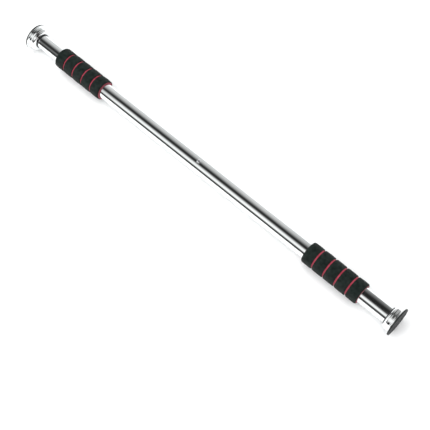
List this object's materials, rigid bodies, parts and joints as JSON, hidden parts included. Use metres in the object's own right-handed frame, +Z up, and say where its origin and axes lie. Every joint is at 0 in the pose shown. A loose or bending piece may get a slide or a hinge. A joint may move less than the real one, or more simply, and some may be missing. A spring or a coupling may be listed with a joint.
{
  "type": "pull up bar",
  "caption": "Telescopic doorway pull-up bar: chrome outer and inner tubes with a screw drive inside, foam grips with red grooves, and swivelling rubber-faced feet.",
  "frame": {"origin": "on the bar's axis, midway between the two rubber faces in the drawn state", "axes": "+X along the bar towards the foot on the outer tube, +Z up through the centre screw"},
  "size_m": [0.815, 0.0494, 0.0494],
  "materials": {
    "chrome_tube": "bright chrome plating on a drawn steel tube",
    "chrome_cap": "bright chrome plating on a die-cast cap",
    "steel": "turned steel, lightly oiled",
    "steel_thread": "rolled thread, greased",
    "zinc_screw": "bright zinc plating",
    "black_steel": "black oxide",
    "brass": "turned brass",
    "black_foam": "closed-cell foam, matt",
    "red_foam": "closed-cell foam, matt",
    "grey_rubber": "moulded rubber, matt",
    "black_rubber": "moulded rubber, smooth",
    "black_nylon": "moulded nylon",
    "white_nylon": "natural nylon"
  },
  "bodies": {
    "main_tube": {"outer_tube": "chrome_tube", "mouth_bush": "black_nylon", "nut_block": "steel", "nut_screw": "zinc_screw", "left_grip_core": "red_foam", "left_grip_bands": "black_foam", "right_grip_core": "red_foam", "right_grip_bands": "black_foam", "right_end_plug": "steel", "right_pivot_bolt": "zinc_screw", "right_bolt_washer": "steel", "right_thrust_washer": "white_nylon", "right_lock_nut": "steel", "right_dust_ring": "black_rubber"},
    "slide_ring": {"guide_ring": "white_nylon"},
    "extension_tube": {"inner_tube": "chrome_tube", "rod_plug": "steel", "rod_pin": "steel", "threaded_rod": "steel_thread", "stop_washer": "steel", "stop_nut": "steel", "stop_pin": "steel", "left_end_plug": "steel", "left_pivot_bolt": "zinc_screw", "left_bolt_washer": "steel", "left_thrust_washer": "white_nylon", "left_lock_nut": "steel", "left_dust_ring": "black_rubber"},
    "left_foot": {"left_foot_cap": "chrome_cap", "left_foot_hub": "black_nylon", "left_foot_bush": "brass", "left_grub_screw": "black_steel", "left_foot_pad": "grey_rubber"},
    "right_foot": {"right_foot_cap": "chrome_cap", "right_foot_hub": "black_nylon", "right_foot_bush": "brass", "right_grub_screw": "black_steel", "right_foot_pad": "grey_rubber"}
  },
  "joints": [
    {"name": "extension_slide", "type": "slide", "parent": "main_tube", "child": "slide_ring", "axis": [-1, 0, 0], "range_m": [-0.045, 0.18]},
    {"name": "extension_twist", "type": "hinge", "parent": "slide_ring", "child": "extension_tube", "pos_m": [-0.07, 0, 0], "axis": [-1, 0, 0], "range_deg": [-4051, 16201]},
    {"name": "left_foot_swivel", "type": "hinge", "parent": "extension_tube", "child": "left_foot", "pos_m": [-0.3995, 0, 0], "axis": [-1, 0, 0], "continuous": true},
    {"name": "right_foot_swivel", "type": "hinge", "parent": "main_tube", "child": "right_foot", "pos_m": [0.3995, 0, 0], "axis": [1, 0, 0], "continuous": true}
  ],
  "couplings": [
    {"joint": "extension_twist", "follows": "extension_slide", "rad_per_m": 1570.8}
  ]
}
